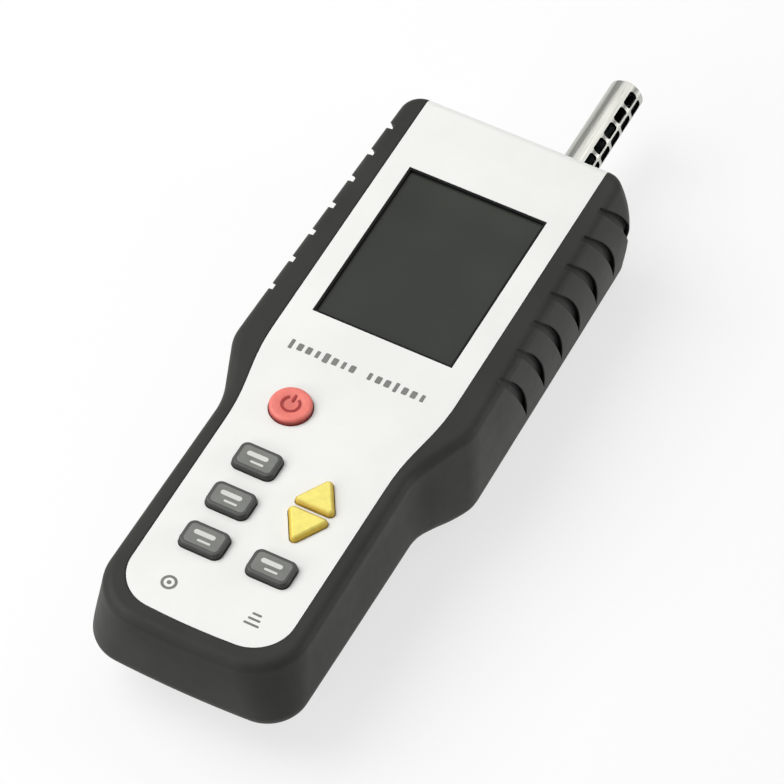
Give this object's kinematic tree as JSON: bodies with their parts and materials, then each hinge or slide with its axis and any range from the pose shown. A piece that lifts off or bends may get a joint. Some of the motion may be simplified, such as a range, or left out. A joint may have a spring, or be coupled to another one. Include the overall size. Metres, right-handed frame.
{
  "type": "airborne particle counter",
  "caption": "Handheld airborne particle counter with a colour display, sprung keys, a slotted metal sampling probe, a ribbed rubber grip and a lift-out battery door.",
  "frame": {"origin": "on the resting surface, under the middle of the overall length and width; the instrument lies on its back", "axes": "+X to the right when the keys are read, +Y from the handle to the probe, +Z out of the front face"},
  "size_m": [0.076, 0.24, 0.0399],
  "materials": {
    "white_plastic": "fine satin moulding",
    "dark_plastic": "fine spark texture",
    "dark_rubber": "soft satin overmould",
    "display_glass": "smooth anti-glare",
    "display_black": "smooth",
    "black_foam": "foam",
    "grey_key": "satin",
    "yellow_key": "satin",
    "red_key": "satin",
    "silicone": "matt",
    "circuit_board": "solder mask",
    "black_part": "matt",
    "zinc_steel": "zinc plated",
    "brass": "turned",
    "probe_metal": "nickel plated, bright",
    "cell_jacket": "printed film, plain",
    "spring_metal": "nickel plated"
  },
  "bodies": {
    "housing": {"front_cover": "white_plastic", "rear_cover": "dark_plastic", "rubber_grip": "dark_rubber", "display_window": "display_glass", "display_panel": "display_black", "display_gasket": "black_foam", "keypad_mat": "silicone", "main_board": "circuit_board", "sounder": "black_part", "case_screws": "zinc_steel", "board_screws": "zinc_steel", "fan_screws": "zinc_steel", "tripod_insert": "brass", "probe_tube": "probe_metal", "probe_nut": "probe_metal", "probe_seal": "silicone", "inlet_tube": "black_part", "humidity_sensor": "circuit_board", "sensor_chamber": "black_part", "chamber_lid": "black_part", "laser_module": "brass", "photodetector": "circuit_board", "light_trap": "black_part", "fan_frame": "black_part", "left_cell": "cell_jacket", "middle_cell": "cell_jacket", "right_cell": "cell_jacket", "upper_contacts": "spring_metal", "lower_contacts": "spring_metal"},
    "power_button_body": {"power_button": "red_key"},
    "upper_key_body": {"upper_key": "grey_key"},
    "middle_key_body": {"middle_key": "grey_key"},
    "lower_key_body": {"lower_key": "grey_key"},
    "enter_key_body": {"enter_key": "grey_key"},
    "up_key_body": {"up_key": "yellow_key"},
    "down_key_body": {"down_key": "yellow_key"},
    "door": {"battery_door": "dark_plastic"},
    "fan": {"fan_rotor": "black_part"}
  },
  "joints": [
    {"name": "power_button_press", "type": "slide", "parent": "housing", "child": "power_button_body", "axis": [0, 0, -1], "range_m": [0, 0.0008], "stiffness_N_per_m": 1500, "springref_m": -0.0002},
    {"name": "upper_key_press", "type": "slide", "parent": "housing", "child": "upper_key_body", "axis": [0, 0, -1], "range_m": [0, 0.0008], "stiffness_N_per_m": 1500, "springref_m": -0.0002},
    {"name": "middle_key_press", "type": "slide", "parent": "housing", "child": "middle_key_body", "axis": [0, 0, -1], "range_m": [0, 0.0008], "stiffness_N_per_m": 1500, "springref_m": -0.0002},
    {"name": "lower_key_press", "type": "slide", "parent": "housing", "child": "lower_key_body", "axis": [0, 0, -1], "range_m": [0, 0.0008], "stiffness_N_per_m": 1500, "springref_m": -0.0002},
    {"name": "enter_key_press", "type": "slide", "parent": "housing", "child": "enter_key_body", "axis": [0, 0, -1], "range_m": [0, 0.0008], "stiffness_N_per_m": 1500, "springref_m": -0.0002},
    {"name": "up_key_press", "type": "slide", "parent": "housing", "child": "up_key_body", "axis": [0, 0, -1], "range_m": [0, 0.0008], "stiffness_N_per_m": 1500, "springref_m": -0.0002},
    {"name": "down_key_press", "type": "slide", "parent": "housing", "child": "down_key_body", "axis": [0, 0, -1], "range_m": [0, 0.0008], "stiffness_N_per_m": 1500, "springref_m": -0.0002},
    {"name": "battery_door_lift", "type": "slide", "parent": "housing", "child": "door", "axis": [0, 0, -1], "range_m": [0, 0.03]},
    {"name": "fan_spin", "type": "hinge", "parent": "housing", "child": "fan", "pos_m": [-0.012, 0.04, 0.0092], "axis": [0, 0, 1], "continuous": true}
  ]
}
